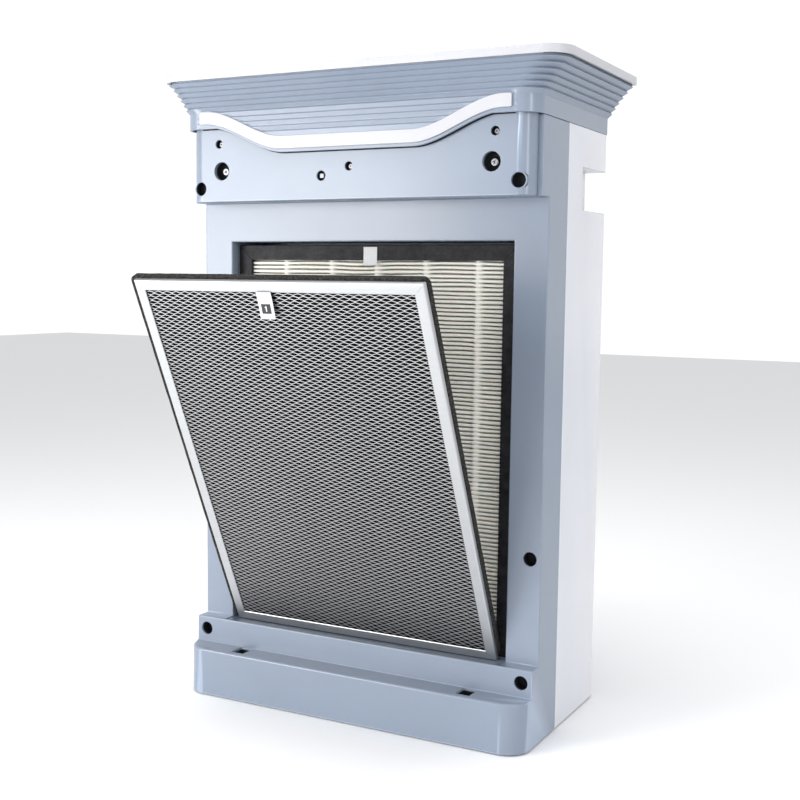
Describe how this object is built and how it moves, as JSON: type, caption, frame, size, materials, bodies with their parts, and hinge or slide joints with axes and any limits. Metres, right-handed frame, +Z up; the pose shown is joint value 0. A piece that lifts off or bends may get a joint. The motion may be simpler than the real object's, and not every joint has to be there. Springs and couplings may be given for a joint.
{
  "type": "air purifier",
  "caption": "Floor-standing household air purifier with its front cover off, a coarse pre-filter leaning out and a pleated main filter in its recess.",
  "frame": {"origin": "on the floor, in the middle of the width, in the plane of the main front face, which is also the middle of the footprint with the pre-filter leaned out", "axes": "+X to the right seen from the front, +Y to the back, +Z up"},
  "size_m": [0.436, 0.3277, 0.6369],
  "materials": {
    "grey_housing": "satin grey-blue moulded plastic",
    "white_housing": "satin white moulded plastic",
    "black_plastic": "black moulded plastic",
    "key_plastic": "pale matt plastic",
    "bright_metal": "bright mill finish",
    "dark_mesh": "dark expanded metal",
    "bronze": "sintered bush",
    "pleated_media": "white pleated filter paper",
    "ribbon": "white woven pull tab",
    "foam": "open-cell dark foam",
    "rubber": "matt black",
    "circuit_board": "green circuit board"
  },
  "bodies": {
    "housing": {"front_housing": "grey_housing", "upper_cover": "grey_housing", "crown": "grey_housing", "base_plate": "grey_housing", "filter_bay": "grey_housing", "intake_guard": "grey_housing", "rear_housing": "white_housing", "top_plate": "white_housing", "outlet_grille": "white_housing", "wave_trim": "white_housing", "fan_scroll": "white_housing", "fan_cover": "white_housing", "display_window": "black_plastic", "mains_inlet": "black_plastic", "door_switch": "black_plastic", "ioniser": "key_plastic", "cover_screw_left": "bright_metal", "cover_screw_right": "bright_metal", "panel_screw_left": "bright_metal", "panel_screw_right": "bright_metal", "panel_screw_middle": "bright_metal", "motor_bracket": "bright_metal", "motor_body": "bright_metal", "motor_bush": "bronze", "foot_front_left": "rubber", "foot_front_right": "rubber", "foot_rear_left": "rubber", "foot_rear_right": "rubber", "motor_lead": "rubber", "control_lead": "rubber", "power_board": "circuit_board", "control_board": "circuit_board"},
    "prefilter": {"prefilter_frame": "bright_metal", "prefilter_mesh": "bright_metal", "prefilter_foam": "foam", "prefilter_rear_mesh": "dark_mesh", "carbon_core": "foam", "prefilter_tab": "ribbon"},
    "hepa_filter": {"hepa_frame": "black_plastic", "hepa_media": "pleated_media", "hepa_gasket": "foam", "hepa_tab": "ribbon"},
    "fan": {"impeller": "black_plastic", "motor_shaft": "bright_metal", "impeller_nut": "bright_metal"},
    "power_key_body": {"power_key": "key_plastic"},
    "speed_key_body": {"speed_key": "key_plastic"},
    "timer_key_body": {"timer_key": "key_plastic"},
    "ioniser_key_body": {"ioniser_key": "key_plastic"},
    "sleep_key_body": {"sleep_key": "key_plastic"},
    "plunger_body": {"switch_plunger": "key_plastic"}
  },
  "joints": [
    {"name": "prefilter_tilt", "type": "hinge", "parent": "housing", "child": "prefilter", "pos_m": [0, -0.001, 0.0758], "axis": [1, 0, 0], "range_deg": [-24.9, 0]},
    {"name": "hepa_tip", "type": "hinge", "parent": "housing", "child": "hepa_filter", "pos_m": [0, 0.0125, 0.0758], "axis": [1, 0, 0], "range_deg": [0, 8]},
    {"name": "fan_spin", "type": "hinge", "parent": "housing", "child": "fan", "pos_m": [0, 0.0922, 0.2728], "axis": [0, -1, 0], "continuous": true},
    {"name": "power_press", "type": "slide", "parent": "housing", "child": "power_key_body", "axis": [0, 0, -1], "range_m": [0, 0.001], "stiffness_N_per_m": 600, "springref_m": -0.0005},
    {"name": "speed_press", "type": "slide", "parent": "housing", "child": "speed_key_body", "axis": [0, 0, -1], "range_m": [0, 0.001], "stiffness_N_per_m": 600, "springref_m": -0.0005},
    {"name": "timer_press", "type": "slide", "parent": "housing", "child": "timer_key_body", "axis": [0, 0, -1], "range_m": [0, 0.001], "stiffness_N_per_m": 600, "springref_m": -0.0005},
    {"name": "ioniser_press", "type": "slide", "parent": "housing", "child": "ioniser_key_body", "axis": [0, 0, -1], "range_m": [0, 0.001], "stiffness_N_per_m": 600, "springref_m": -0.0005},
    {"name": "sleep_press", "type": "slide", "parent": "housing", "child": "sleep_key_body", "axis": [0, 0, -1], "range_m": [0, 0.001], "stiffness_N_per_m": 600, "springref_m": -0.0005},
    {"name": "switch_press", "type": "slide", "parent": "housing", "child": "plunger_body", "axis": [0, 1, 0], "range_m": [0, 0.003], "stiffness_N_per_m": 200, "springref_m": -0.001}
  ]
}
